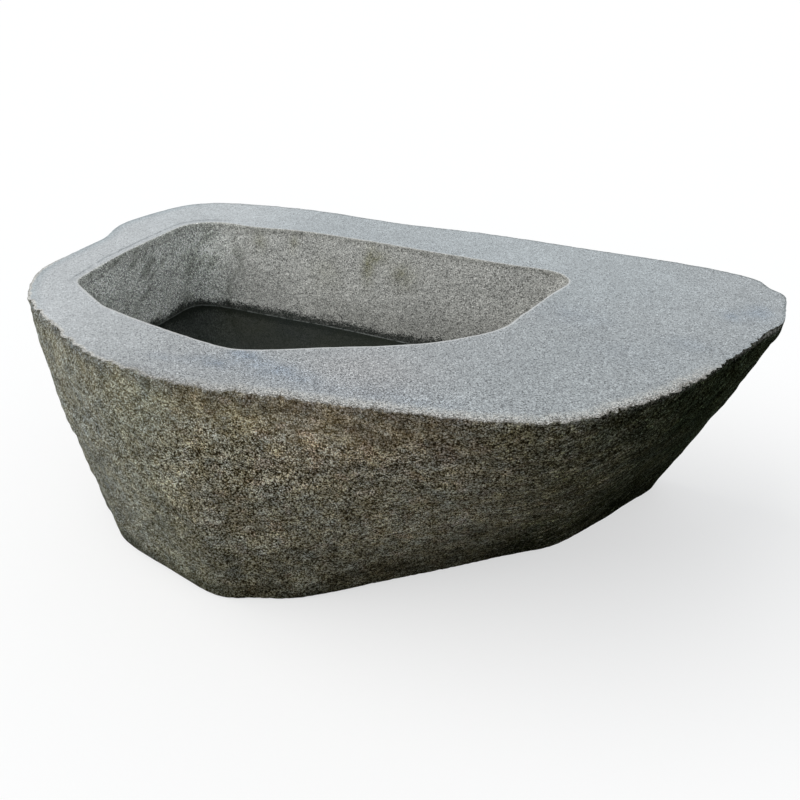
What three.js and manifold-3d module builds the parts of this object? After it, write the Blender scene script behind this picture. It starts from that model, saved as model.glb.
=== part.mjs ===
// Trough planter made from one natural boulder: a flat honed top, split sides and a worked basin,
// with the water that stands in it and the bung, eye and pull ring that close its drain.
// Millimetres, +Z up, -Y towards the viewer. The origin is on the ground, under the middle of the top.

import * as THREE from "three";
import { mergeVertices } from "three/addons/utils/BufferGeometryUtils.js";
import Module from "manifold-3d";

const wasm = await Module();
wasm.setup();

const gap = 0.3;
const cutMargin = 20;

// Boulder
const length = 2000;
const width = 1100;
const height = 740;
const outerArris = 5;
const belly = 22;
const bellyRise = 1.7;
const reliefDepth = 9;
const reliefSpan = 95;
const boulderLevels = 10;
const stepsPerRib = 4;

// Each rib of the boulder, anticlockwise from the pointed end: x and y of its head on the top
// outline, then x and y of its foot on the ground, as shares of half the length and half the width.
const ribShares = [
  [1.0, 0.585, 0.785, 0.72],
  [0.998, 0.75, 0.79, 0.785],
  [0.966, 0.785, 0.777, 0.835],
  [0.936, 0.875, 0.757, 0.865],
  [0.78, 0.95, 0.64, 0.83],
  [0.5, 0.975, 0.43, 0.79],
  [0.11, 1.0, 0.09, 0.82],
  [-0.15, 0.975, -0.15, 0.805],
  [-0.45, 1.0, -0.41, 0.775],
  [-0.665, 0.965, -0.59, 0.74],
  [-0.82, 0.9, -0.73, 0.665],
  [-0.895, 0.81, -0.805, 0.565],
  [-0.95, 0.65, -0.855, 0.43],
  [-1.0, 0.39, -0.893, 0.22],
  [-0.976, 0.155, -0.905, 0.02],
  [-0.99, -0.11, -0.912, -0.2],
  [-0.994, -0.29, -0.902, -0.385],
  [-0.949, -0.47, -0.862, -0.535],
  [-0.861, -0.64, -0.778, -0.632],
  [-0.773, -0.73, -0.7, -0.752],
  [-0.55, -0.925, -0.487, -0.857],
  [-0.36, -0.99, -0.3, -0.92],
  [-0.263, -1.0, -0.21, -0.867],
  [-0.15, -0.98, -0.108, -0.803],
  [0.02, -0.928, -0.005, -0.681],
  [0.15, -0.9, 0.1, -0.538],
  [0.3, -0.853, 0.215, -0.389],
  [0.46, -0.783, 0.345, -0.212],
  [0.56, -0.708, 0.44, -0.083],
  [0.65, -0.565, 0.525, 0.028],
  [0.765, -0.333, 0.592, 0.18],
  [0.845, -0.09, 0.645, 0.335],
  [0.907, 0.11, 0.695, 0.475],
  [0.96, 0.312, 0.738, 0.59],
  [0.992, 0.452, 0.768, 0.67],
];

// Basin
const basinDepth = 420;
const basinArris = 5;
const coveRadius = 60;
const coveSteps = 4;
const wallLevels = 4;
const stepsPerCorner = 4;
const floorFall = 12;

// Each rib of the basin, anticlockwise from its right corner: x and y of its head on the rim, then x and y
// of its foot at the floor's depth, as shares of half the boulder's length and width.
const basinShares = [
  [0.443, 0.536, 0.383, 0.36],
  [0.405, 0.613, 0.348, 0.405],
  [0.24, 0.625, 0.199, 0.41],
  [0.0, 0.645, -0.019, 0.428],
  [-0.25, 0.668, -0.25, 0.451],
  [-0.43, 0.668, -0.43, 0.46],
  [-0.58, 0.625, -0.58, 0.48],
  [-0.72, 0.613, -0.72, 0.482],
  [-0.795, 0.52, -0.805, 0.46],
  [-0.822, 0.33, -0.832, 0.27],
  [-0.844, 0.02, -0.854, 0.017],
  [-0.848, -0.28, -0.855, -0.238],
  [-0.843, -0.335, -0.849, -0.285],
  [-0.828, -0.365, -0.832, -0.31],
  [-0.722, -0.48, -0.722, -0.408],
  [-0.675, -0.524, -0.675, -0.445],
  [-0.63, -0.547, -0.63, -0.465],
  [-0.43, -0.625, -0.43, -0.531],
  [-0.25, -0.666, -0.25, -0.566],
  [-0.19, -0.638, -0.191, -0.542],
  [-0.04, -0.515, -0.055, -0.438],
  [0.14, -0.366, 0.108, -0.311],
  [0.22, -0.275, 0.181, -0.234],
  [0.335, -0.07, 0.285, -0.06],
  [0.367, 0.1, 0.313, 0.085],
  [0.415, 0.37, 0.357, 0.25],
];

// Water
const waterBelowRim = 283;
const waterClearance = 0.9;

// Drain, drilled down through the floor at this share of half the length from the middle
const drainShare = -0.2;
const drainRadius = 25;
const seatDepth = 42;
const seatFlare = 5;
const drainPad = 60;
const roundSteps = 40;

// Bung, eye and ring
const lipRadius = 40;
const lipThickness = 9;
const rubberEdge = 2;
const shankRadius = 3;
const shankLength = 26;
const collarRadius = 8;
const collarThickness = 2;
const wireRadius = 2;
const eyeRadius = 7;
const ringRadius = 18;
const wireSides = 12;
const pocketHeight = 48;
const pocketRadius = 48;

const halfLength = length / 2;
const halfWidth = width / 2;
const floorHeight = height - basinDepth;
const drainHeight = floorHeight - floorFall;
const drainX = halfLength * drainShare;
const lipTop = drainHeight + gap + lipThickness;
const eyeHeight = lipTop + gap + collarThickness + eyeRadius;
const ringRestAngle = Math.asin((eyeHeight - lipTop - wireRadius - gap) / (2 * ringRadius));

const granite = new THREE.MeshStandardMaterial({ color: 0x9fa3a5, roughness: 0.8, metalness: 0 });
const darkWater = new THREE.MeshStandardMaterial({ color: 0x2c2f2c, roughness: 0.05, metalness: 0 });
const blackRubber = new THREE.MeshStandardMaterial({ color: 0x1c1c1c, roughness: 0.6, metalness: 0 });
const stainless = new THREE.MeshStandardMaterial({ color: 0xb4b6b8, roughness: 0.3, metalness: 1 });

function mix(from, to, share) {
  return from + (to - from) * share;
}

// A closed curve through the corners, with the same number of points between every two.
function closedCurve(corners, steps) {
  const curve = new THREE.CatmullRomCurve3(corners, true, "centripetal");
  const count = corners.length * steps;
  const points = [];
  for (let i = 0; i < count; i += 1) {
    points.push(curve.getPoint(i / count));
  }
  return points;
}

function atHeight(ring, z) {
  return ring.map((point) => new THREE.Vector3(point.x, point.y, z));
}

// Moves every point of an anticlockwise ring out along its own normal, by a distance that may vary.
function spread(ring, distanceAt) {
  return ring.map((point, i) => {
    const before = ring.at(i - 1);
    const after = ring[(i + 1) % ring.length];
    const normal = new THREE.Vector3(after.y - before.y, before.x - after.x, 0).normalize();
    return point.clone().addScaledVector(normal, distanceAt(point));
  });
}

// Fits the rings together into a box of the boulder's own length and width about the origin.
function fitToSize(rings) {
  const box = new THREE.Box3().setFromPoints(rings.flat());
  const size = box.getSize(new THREE.Vector3());
  const middle = box.getCenter(new THREE.Vector3());
  return rings.map((ring) =>
    ring.map((point) => {
      const x = ((point.x - middle.x) * length) / size.x;
      const y = ((point.y - middle.y) * width) / size.y;
      return new THREE.Vector3(x, y, point.z);
    }),
  );
}

// A closed solid through rings of equal count, from the lowest to the highest, with flat ends.
function loft(rings) {
  const count = rings[0].length;
  const index = [];
  for (let level = 0; level + 1 < rings.length; level += 1) {
    for (let i = 0; i < count; i += 1) {
      const a = level * count + i;
      const b = level * count + ((i + 1) % count);
      index.push(a, b, b + count);
      index.push(a, b + count, a + count);
    }
  }
  const topStart = (rings.length - 1) * count;
  for (const [a, b, c] of THREE.ShapeUtils.triangulateShape(rings[0], [])) {
    index.push(c, b, a);
  }
  for (const [a, b, c] of THREE.ShapeUtils.triangulateShape(rings.at(-1), [])) {
    index.push(topStart + a, topStart + b, topStart + c);
  }
  const geometry = new THREE.BufferGeometry().setFromPoints(rings.flat());
  geometry.setIndex(index);
  return geometry;
}

// A solid of revolution about the vertical line through the drain, from radius and height pairs.
function revolve(profile) {
  const points = profile.map(([radius, z]) => new THREE.Vector2(radius, z));
  const geometry = new THREE.LatheGeometry(points, roundSteps);
  geometry.rotateX(Math.PI / 2);
  geometry.translate(drainX, 0, 0);
  return geometry;
}

function solidFrom(geometry) {
  const bare = geometry.clone();
  bare.deleteAttribute("normal");
  bare.deleteAttribute("uv");
  const merged = mergeVertices(bare);
  const vertProperties = merged.attributes.position.array;
  const triVerts = new Uint32Array(merged.index.array);
  return new wasm.Manifold(new wasm.Mesh({ numProp: 3, vertProperties, triVerts }));
}

function geometryFrom(solid) {
  const { vertProperties, triVerts } = solid.getMesh();
  const geometry = new THREE.BufferGeometry();
  geometry.setAttribute("position", new THREE.BufferAttribute(vertProperties, 3));
  geometry.setIndex(new THREE.BufferAttribute(triVerts, 1));
  geometry.computeVertexNormals();
  return geometry;
}

function named(name, geometry, material) {
  const mesh = new THREE.Mesh(geometry, material);
  mesh.name = name;
  return mesh;
}

// The waves that make up the rise and fall of the split faces: the radians each turns through over a
// relief span along x, y and z, and its phase in radians.
const reliefWaves = [
  { turns: new THREE.Vector3(1, 0, 2), phase: 0 },
  { turns: new THREE.Vector3(0, 1, -3), phase: 1 },
  { turns: new THREE.Vector3(0.5, -0.5, 0), phase: 2 },
];

// How far a split face stands out from the smooth loft, most at mid height and none at its edges.
function reliefAt(point) {
  const level = point.z / (height - outerArris);
  let sum = 0;
  for (const { turns, phase } of reliefWaves) {
    sum += Math.sin(turns.dot(point) / reliefSpan + phase);
  }
  return (Math.sin(Math.PI * level) * reliefDepth * sum) / reliefWaves.length;
}

function boulderRing(level) {
  const corners = ribShares.map(([topX, topY, footX, footY]) => {
    const x = halfLength * mix(footX, topX, level);
    const y = halfWidth * mix(footY, topY, level);
    return new THREE.Vector3(x, y, 0);
  });
  const outline = closedCurve(corners, stepsPerRib);
  const raised = atHeight(outline, level * (height - outerArris));
  const swell = belly * Math.sin(Math.PI * level ** bellyRise);
  return spread(raised, (point) => swell + reliefAt(point));
}

function boulder() {
  const rings = [];
  for (let step = 0; step <= boulderLevels; step += 1) {
    rings.push(boulderRing(step / boulderLevels));
  }
  rings.push(atHeight(spread(rings.at(-1), () => -outerArris), height));
  return solidFrom(loft(fitToSize(rings)));
}

// Draws an outline in towards the drain by an inset, measured at each side's furthest point.
function drawnIn(outline, inset) {
  const box = new THREE.Box3().setFromPoints(outline);
  return outline.map((point) => {
    const sideX = point.x > drainX ? box.max.x - drainX : drainX - box.min.x;
    const sideY = point.y > 0 ? box.max.y : -box.min.y;
    const x = drainX + (point.x - drainX) * (1 - inset / sideX);
    return new THREE.Vector3(x, point.y * (1 - inset / sideY), 0);
  });
}

// The basin's wall at a depth below the rim, set further in all round by the inset.
function basinRing(depth, inset) {
  const share = depth / basinDepth;
  const corners = basinShares.map(([rimX, rimY, footX, footY]) => {
    const x = halfLength * mix(rimX, footX, share);
    const y = halfWidth * mix(rimY, footY, share);
    return new THREE.Vector3(x, y, 0);
  });
  return atHeight(drawnIn(closedCurve(corners, stepsPerCorner), inset), height - depth);
}

// The level round pad about the drain, the fall of the floor and the cove up to the foot of the wall.
function floorRings(clearance) {
  const edge = basinRing(basinDepth, basinArris + coveRadius + clearance);
  const pad = edge.map((point) => {
    const angle = Math.atan2(point.y, point.x - drainX);
    const x = drainX + drainPad * Math.cos(angle);
    return new THREE.Vector3(x, drainPad * Math.sin(angle), drainHeight + clearance);
  });
  const rings = [pad];
  for (let step = 0; step <= coveSteps; step += 1) {
    const angle = (Math.PI / 2) * (step / coveSteps);
    const depth = basinDepth - coveRadius * (1 - Math.cos(angle));
    const inset = basinArris + coveRadius * (1 - Math.sin(angle)) + clearance;
    rings.push(atHeight(basinRing(depth, inset), height - depth + clearance));
  }
  return rings;
}

function wallRings(fromDepth, toDepth, clearance) {
  const rings = [];
  for (let step = 1; step <= wallLevels; step += 1) {
    const depth = mix(fromDepth, toDepth, step / wallLevels);
    rings.push(basinRing(depth, basinArris + clearance));
  }
  return rings;
}

function basinHollow() {
  const opening = basinRing(0, 0);
  return solidFrom(
    loft([
      ...floorRings(0),
      ...wallRings(basinDepth - coveRadius, basinArris, 0),
      opening,
      atHeight(opening, height + cutMargin),
    ]),
  );
}

function drainHollow() {
  return solidFrom(
    revolve([
      [0, -cutMargin],
      [drainRadius, -cutMargin],
      [drainRadius, drainHeight - seatDepth],
      [drainRadius + seatFlare, drainHeight],
      [drainRadius + seatFlare, drainHeight + cutMargin],
      [0, drainHeight + cutMargin],
    ]),
  );
}

function troughBody() {
  return geometryFrom(boulder().subtract(basinHollow()).subtract(drainHollow()));
}

// The water keeps clear of the bung, its eye and the ring by a pocket in its underside.
function standingWater() {
  const pool = solidFrom(
    loft([
      ...floorRings(waterClearance),
      ...wallRings(basinDepth - coveRadius, waterBelowRim, waterClearance),
    ]),
  );
  const pocket = solidFrom(
    revolve([
      [0, drainHeight - cutMargin],
      [pocketRadius, drainHeight - cutMargin],
      [pocketRadius, drainHeight + pocketHeight / 2],
      [pocketRadius / 2, drainHeight + pocketHeight],
      [0, drainHeight + pocketHeight],
    ]),
  );
  return geometryFrom(pool.subtract(pocket));
}

function drainBung() {
  const seatBottom = drainHeight - seatDepth;
  const lipUnder = drainHeight + gap;
  return revolve([
    [0, seatBottom],
    [drainRadius - gap - rubberEdge, seatBottom],
    [drainRadius - gap, seatBottom + rubberEdge],
    [drainRadius + seatFlare - gap, lipUnder],
    [lipRadius, lipUnder],
    [lipRadius, lipTop - rubberEdge],
    [lipRadius - rubberEdge, lipTop],
    [shankRadius + gap, lipTop],
    [shankRadius + gap, lipTop - shankLength - gap],
    [0, lipTop - shankLength - gap],
  ]);
}

// A wire ring standing in the plane across the viewer's sight, centred on the eye's own height.
function wireRing(radius) {
  const ring = new THREE.TorusGeometry(radius, wireRadius, wireSides, roundSteps);
  ring.rotateX(Math.PI / 2);
  return ring;
}

function bungEye() {
  const underside = lipTop + gap;
  const shank = revolve([
    [0, lipTop - shankLength],
    [shankRadius, lipTop - shankLength],
    [shankRadius, underside],
    [collarRadius, underside],
    [collarRadius, underside + collarThickness],
    [0, underside + collarThickness],
  ]);
  const eye = wireRing(eyeRadius);
  eye.translate(drainX, 0, eyeHeight);
  return geometryFrom(solidFrom(shank).add(solidFrom(eye)));
}

// The ring threads the eye and lies down on the bung's lip.
function pullRing() {
  const ring = new THREE.TorusGeometry(ringRadius, wireRadius, wireSides, roundSteps);
  ring.translate(ringRadius, 0, 0);
  ring.rotateY(ringRestAngle);
  ring.translate(drainX, 0, eyeHeight);
  return ring;
}

const planter = new THREE.Group();
const bungGroup = new THREE.Group();
bungGroup.add(
  named("drain_bung", drainBung(), blackRubber),
  named("bung_eye", bungEye(), stainless),
  named("pull_ring", pullRing(), stainless),
);
planter.add(
  named("trough_body", troughBody(), granite),
  named("standing_water", standingWater(), darkWater),
  bungGroup,
);

export default planter;
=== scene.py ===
import math

import bpy
import numpy as np
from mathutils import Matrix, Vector
from mathutils.bvhtree import BVHTree
from mathutils.geometry import delaunay_2d_cdt
from mathutils.kdtree import KDTree


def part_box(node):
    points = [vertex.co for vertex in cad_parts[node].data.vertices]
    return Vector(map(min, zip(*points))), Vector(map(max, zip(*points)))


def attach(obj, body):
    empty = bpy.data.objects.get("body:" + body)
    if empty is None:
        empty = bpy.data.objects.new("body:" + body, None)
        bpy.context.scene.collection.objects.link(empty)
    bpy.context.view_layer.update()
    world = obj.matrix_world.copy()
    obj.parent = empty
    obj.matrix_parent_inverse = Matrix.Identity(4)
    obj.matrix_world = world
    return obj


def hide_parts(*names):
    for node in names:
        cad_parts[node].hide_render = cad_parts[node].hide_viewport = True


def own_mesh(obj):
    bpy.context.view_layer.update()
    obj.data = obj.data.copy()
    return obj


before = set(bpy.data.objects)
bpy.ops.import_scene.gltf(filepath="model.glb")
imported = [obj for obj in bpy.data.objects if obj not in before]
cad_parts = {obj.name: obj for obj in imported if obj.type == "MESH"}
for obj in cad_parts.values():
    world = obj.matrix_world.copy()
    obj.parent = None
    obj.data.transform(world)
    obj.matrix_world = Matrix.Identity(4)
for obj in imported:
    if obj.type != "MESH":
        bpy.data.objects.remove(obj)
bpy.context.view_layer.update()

stone_low, stone_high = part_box("trough_body")
water_low, water_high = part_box("standing_water")
bung_low, bung_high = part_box("drain_bung")
TOP = stone_high.z
WATER_LEVEL = water_high.z
CENTRE = (0.0, 0.0)
DRAIN = ((bung_low.x + bung_high.x) / 2, (bung_low.y + bung_high.y) / 2)

# The stone's outer wall: its grid, in columns round the stone and levels up it. The columns stand
# closer together on the near side, and the levels near the top.
SIDE_COLUMNS = 960
NEAR_CROWDING = 1.5
FAR_CROWDING = 0.65
SIDE_LEVELS = 53
BROW_LEVELS = 8
SIDE_FOOT = 0.006
SIDE_BROW = 0.684
SIDE_HEAD = 0.724
SIDE_OUTLINE = 0.66
FOOT_ARRIS = 0.004
OUTER_REACH = 3.0
# How far the solid's facets are smoothed, in columns and levels: in general, at the right, behind.
SIDE_BLUR = (3.6, 1.5)
RIGHT_BLUR = (3.0, 3.5)
FAR_BLUR = (1.5, 2.5)

# The edge of the top: courses that turn it over, as shares of a chip's inset and of its depth.
EDGE_COURSES = ((0.12, 1.0), (0.5, 0.5), (0.86, 0.14), (1.0, 0.0))
# Chips of three sizes, as how deep, from and to which value of the noise, how wide, and a seed.
CHIPS = (
    (0.0052, 0.08, 0.6, 0.0085, 7),
    (0.0036, 0.05, 0.75, 0.024, 8),
    (0.006, 0.35, 0.75, 0.06, 9),
)
LEAST_CHIP = 0.0004
TIP_CHIP = ((0.955, 0.175, TOP), (0.05, 0.05, 1), 0.007)

# The basin: its grid, where the solid's cove starts, and the courses that round its rim.
BASIN_COLUMNS = 480
BASIN_OUTLINE = 0.7
WALL_LEVELS = 34
WALL_BLUR = (1.3, 1.5)
COVE_TOP = 0.385
COVE_RADIUS = 0.06
COVE_LEVELS = 7
FLOOR_LEVELS = 6
FLOOR_BLUR = (1.8, 0)
PAD_RADIUS = 0.06
RIM_ROUNDING = 0.005
LIP_COURSES = ((1.0, 0.0), (0.5, 0.16), (0.14, 0.55))

# The drain's tapered seat and bore.
DRAIN_COLUMNS = 64
SEAT_RADIUS = 0.03
BORE_RADIUS = 0.025
SEAT_DEPTH = 0.042
DRAIN_EDGE = 0.0015

# The sizes of the triangles that fill the level faces, and how sharp a crease is before it shows.
TOP_STEP = 0.0145
PAD_STEP = 0.014
UNDERSIDE_STEP = 0.06
STONE_CREASE = 48
WATER_CREASE = 40

# The water: its gaps to the wall and the floor, its grid, and the plain disc in its middle.
WATER_SIDE_GAP = 0.0004
WATER_FLOOR_GAP = 0.0009
WATER_FIRST_DROP = 0.012
WATER_STRIDE = 4
WATER_TOP_STEP = 0.03
WATER_FLOOR_STEP = 0.02
DISC_RADIUS = 0.02
DISC_COLUMNS = 24

# The stage: how bright the sky and the lamp are, where the lamp shines, and the camera, in degrees.
SKY = 0.62
SKY_COLOUR = (0.94, 0.97, 1.0)
LAMP = 1.75
LAMP_WIDTH = 55
LAMP_COLOUR = (1.0, 0.985, 0.96)
LAMP_WAY = (0.8, 0.3, -0.95)
FLOOR_HALF = 40.0
FLOOR_DROP = 0.0005
FLOOR_LIT = (0.22, 0.21, 0.19)
FLOOR_SEEN = (0.44, 0.44, 0.44)
FLOOR_GLOW = 0.56
CAMERA_PLACE = (0.6775, -1.6861, 1.6462)
CAMERA_TILT = 56
CAMERA_TURN = 20.5
CAMERA_LENS = 34.2
CAMERA_SENSOR = 36


def hashed(corner, seed):
    """Three numbers from -1 to 1 for each whole-numbered lattice corner."""
    x, y, z = (corner[:, k].astype(np.uint64) for k in range(3))
    mixed = x * np.uint64(73856093) ^ y * np.uint64(19349663) ^ z * np.uint64(83492791)
    mixed = mixed ^ np.uint64(seed * 2654435761 % 2**32)
    parts = []
    for _ in range(3):
        mixed = (mixed ^ (mixed >> np.uint64(31))) * np.uint64(0x9E3779B97F4A7C15)
        mixed = mixed ^ (mixed >> np.uint64(29))
        parts.append((mixed & np.uint64(0xFFFF)).astype(float) / 32767.5 - 1)
    return np.stack(parts, 1)


def noise(points, size, seed):
    """Smooth noise from about -1 to 1, with features about one size across."""
    scaled = points.reshape(-1, 3) / size
    corner = np.floor(scaled).astype(np.int64)
    part = scaled - corner
    ease = part * part * part * (part * (part * 6 - 15) + 10)
    total = np.zeros(len(scaled))
    for shift in np.ndindex(2, 2, 2):
        step = np.array(shift)
        slope = hashed(corner + step, seed)
        weight = np.prod(np.where(step == 1, ease, 1 - ease), axis=1)
        total += weight * np.sum(slope * (part - step), axis=1)
    return (total * 1.35).reshape(points.shape[:-1])


def ridged(points, size, seed):
    """Noise with sharp crests, from about -1 to 1."""
    return 1 - 2.6 * np.abs(noise(points, size, seed))


def smoothstep(low, high, value):
    """0 where value is at low, 1 where it is at high, and smooth between."""
    share = np.clip((value - low) / (high - low), 0, 1)
    return share * share * (3 - 2 * share)


def radii(tree, centre, angles, heights, far):
    """The surface's distance from an upright line by height and angle, seen from far off or from it."""
    found = np.empty((len(heights), len(angles)))
    for row, height in enumerate(heights):
        for column, angle in enumerate(angles):
            way = Vector((math.cos(angle), math.sin(angle), 0))
            start = Vector((centre[0], centre[1], height)) + way * far
            hit = tree.ray_cast(start, -way if far else way)[0]
            found[row, column] = math.hypot(hit.x - centre[0], hit.y - centre[1])
    return found


def crowding(outline):
    """How closely the outer wall's columns stand together: most on the long near side."""
    return FAR_CROWDING + (NEAR_CROWDING - FAR_CROWDING) * smoothstep(0.3, -0.1, outline[:, 1])


def even_angles(tree, centre, height, far, count, crowded=None):
    """Angles that cut the outline at a height into equal lengths, or less where it is crowded."""
    fine = np.linspace(0, 2 * math.pi, 4 * count, endpoint=False)
    radius = radii(tree, centre, fine, [height], far)[0]
    outline = np.stack([radius * np.cos(fine), radius * np.sin(fine)], 1)
    lengths = np.linalg.norm(np.roll(outline, -1, 0) - outline, axis=1)
    if crowded:
        lengths *= crowded(outline)
    along = np.concatenate([[0], np.cumsum(lengths)])
    wanted = np.linspace(0, along[-1], count, endpoint=False)
    return np.interp(wanted, along, np.append(fine, 2 * math.pi))


def smoothed(grid, around, upward):
    """Blurs a grid along its closed rows, and then up its open columns, by so many cells."""
    waves = np.fft.rfftfreq(grid.shape[1])
    fade = np.exp(-2 * (math.pi * around * waves) ** 2)
    grid = np.fft.irfft(np.fft.rfft(grid, axis=1) * fade, grid.shape[1], axis=1)
    if not upward:
        return grid
    reach = int(3 * upward)
    kernel = np.exp(-0.5 * (np.arange(-reach, reach + 1) / upward) ** 2)
    kernel /= kernel.sum()
    below = 2 * grid[:1] - grid[1 : reach + 1][::-1]
    above = 2 * grid[-1:] - grid[-reach - 1 : -1][::-1]
    tall = np.concatenate([below, grid, above])
    return sum(weight * tall[k : k + len(grid)] for k, weight in enumerate(kernel))


def placed(centre, angles, radius, heights):
    """Points of a grid from its radii, with one height for each row or for each point."""
    levels = np.broadcast_to(np.asarray(heights, float).reshape(len(radius), -1), radius.shape)
    across = centre[0] + radius * np.cos(angles)
    along = centre[1] + radius * np.sin(angles)
    return np.stack([across, along, levels], -1)


def outward(rows):
    """The level direction at each point that leads away from its row's outline."""
    tangent = np.roll(rows, -1, 1) - np.roll(rows, 1, 1)
    normal = np.stack([tangent[..., 1], -tangent[..., 0], 0 * tangent[..., 0]], -1)
    return normal / np.linalg.norm(normal, axis=-1, keepdims=True)


def inside(loop, points):
    """Which points lie within a closed outline, both in plan."""
    ahead = np.roll(loop, -1, 0)
    x, y = points[:, :1], points[:, 1:2]
    spans = (loop[:, 1] > y) != (ahead[:, 1] > y)
    rise = ahead[:, 1] - loop[:, 1]
    run = ahead[:, 0] - loop[:, 0]
    crossing = loop[:, 0] + (y - loop[:, 1]) * run / np.where(rise == 0, 1, rise)
    return np.sum(spans & (x < crossing), axis=1) % 2 == 1


# How far a cap's inner points keep from its loops, in steps, and when two of its points are one.
CAP_MARGIN = 0.62
CAP_WELD = 1e-7


class Shell:
    """Collects the points and faces of one closed surface, with a finish number for each face."""

    def __init__(self):
        self.points, self.faces, self.finishes = [], [], []
        self.count = 0

    def add(self, rows):
        """Takes in some rows of points, and gives their ids in the same rows."""
        flat = rows.reshape(-1, 3)
        self.points.append(flat)
        ids = np.arange(self.count, self.count + len(flat)).reshape(rows.shape[:-1])
        self.count += len(flat)
        return ids

    def weave(self, ids, finish):
        """Faces between neighbouring rows of ids; each row is a closed ring."""
        ahead = np.roll(ids, -1, 1)
        quads = np.stack([ids[:-1], ahead[:-1], ahead[1:], ids[1:]], -1).reshape(-1, 4)
        self.faces += quads.tolist()
        self.finishes += [finish] * len(quads)

    def cap(self, outer, inner, step, finish, upward):
        """Fills the level ring between two closed loops of ids with even triangles."""
        known = np.concatenate(self.points)
        height = known[outer[0], 2]
        loops = [known[outer][:, :2], known[inner][:, :2]]
        low, high = loops[0].min(0), loops[0].max(0)
        grid = np.meshgrid(np.arange(low[0], high[0], step), np.arange(low[1], high[1], step))
        grid = np.stack(grid, -1)
        grid[::2, :, 0] += step / 2
        spots = grid.reshape(-1, 2)
        spots = spots[inside(loops[0], spots) & ~inside(loops[1], spots)]
        for loop in loops:
            gap = np.min(np.linalg.norm(spots[:, None] - loop[None], axis=2), axis=1)
            spots = spots[gap > CAP_MARGIN * step]
        added = self.add(np.column_stack([spots, np.full(len(spots), height)]))
        ids = np.concatenate([outer, inner, added])
        flat = np.concatenate([*loops, spots])
        edges = []
        start = 0
        for loop in loops:
            edges += [(start + k, start + (k + 1) % len(loop)) for k in range(len(loop))]
            start += len(loop)
        made = delaunay_2d_cdt([Vector(p) for p in flat.tolist()], edges, [], 0, CAP_WELD)
        origin = np.array([ids[sources[0]] for sources in made[3]])
        corners = np.array([face for face in made[2] if len(face) == 3])
        places = np.array([tuple(p) for p in made[0]])
        middle = places[corners].mean(1)
        corners = corners[inside(loops[0], middle) & ~inside(loops[1], middle)]
        a, b, c = (places[corners[:, k]] for k in range(3))
        turn = (b[:, 0] - a[:, 0]) * (c[:, 1] - a[:, 1]) - (b[:, 1] - a[:, 1]) * (c[:, 0] - a[:, 0])
        swap = (turn > 0) != upward
        corners[swap] = corners[swap][:, ::-1]
        faces = origin[corners[np.abs(turn) > 0]]
        self.faces += faces.tolist()
        self.finishes += [finish] * len(faces)

    def mesh(self, name, materials):
        """The surface as a smooth-shaded mesh."""
        made = bpy.data.meshes.new(name)
        made.from_pydata(np.concatenate(self.points).tolist(), [], self.faces)
        for material in materials:
            made.materials.append(material)
        made.polygons.foreach_set("material_index", self.finishes)
        made.polygons.foreach_set("use_smooth", [True] * len(self.faces))
        made.update()
        return made


def new_object(name, data):
    """A new object of the scene: a mesh, a lamp or a camera."""
    piece = bpy.data.objects.new(name, data)
    bpy.context.scene.collection.objects.link(piece)
    return piece


def split_relief(points):
    """How far the split wall stands out or in: swells, spalls, coarse grain and faint ledges."""
    swell = 0.0022 * noise(points, 0.21, 1) + 0.0016 * noise(points, 0.095, 2)
    spall = 0.001 * ridged(points, 0.052, 3) + 0.0014 * noise(points, 0.026, 4)
    leaning = np.stack([points[..., 0], points[..., 1], 5 * points[..., 2] - points[..., 0]], -1)
    ledge = 0.0012 * ridged(leaning, 0.17, 5) + 0.0008 * ridged(leaning, 0.07, 6)
    return swell + spall + ledge


# Where the split wall stands out or in from the solid: a spot, its reach on each axis, and how far.
BULGES = [
    ((0.975, 0.225, 0.705), (0.08, 0.05, 0.035), 0.008),
    ((0.93, 0.245, 0.52), (0.12, 0.12, 0.06), -0.0072),
    ((0.82, 0.345, 0.18), (0.15, 0.12, 0.07), 0.0045),
    ((0.66, 0.21, 0.0), (0.07, 0.07, 0.06), 0.0055),
    ((0.85, 0.06, 0.735), (0.12, 0.1, 0.03), -0.005),
    ((-0.89, -0.33, 0.53), (0.09, 0.09, 0.05), -0.0065),
    ((-0.78, -0.4, 0.4), (0.08, 0.09, 0.03), 0.005),
    ((-0.8, -0.365, 0.25), (0.09, 0.09, 0.05), 0.0045),
    ((-0.32, -0.485, 0.0), (0.16, 0.2, 0.06), 0.004),
]


def about(points, spot, reach):
    """A soft patch about a spot, from 1 down to 0, with a reach along each axis."""
    away = (points - np.array(spot)) / np.array(reach)
    return np.exp(-np.sum(away * away, axis=-1))


def chipped_edge(rows):
    """The courses that turn the split wall over into the honed top, with chips out of them."""
    rise = rows[-1] - rows[-3]
    brow = rows[-1] + rise * ((TOP - SIDE_HEAD) / rise[:, 2])[:, None]
    away = outward(brow[None])[0]
    broken = smoothstep(0.1, -0.15, brow[:, 1] - 0.25 * smoothstep(0.6, 0.9, brow[:, 0]))
    broken = 0.08 + 0.92 * broken * smoothstep(-0.98, -0.66, brow[:, 0])
    chips = 0
    for deep, low, high, wide, seed in CHIPS:
        chips = chips + deep * smoothstep(low, high, noise(brow, wide, seed))
    spot, reach, deep = TIP_CHIP
    chip = LEAST_CHIP + broken * chips + deep * about(brow, spot, reach)
    depth = np.minimum(0.0035 + 1.1 * chip, TOP - SIDE_HEAD - 0.002)
    lean = (brow[:, :2] - rows[-1][:, :2]) / (TOP - SIDE_HEAD)
    courses = []
    for inset, drop in EDGE_COURSES:
        made = brow - away * (chip * inset)[:, None]
        made[:, :2] -= lean * (depth * drop)[:, None]
        made[:, 2] = TOP - depth * drop
        courses.append(made)
    return np.stack(courses)


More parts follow.
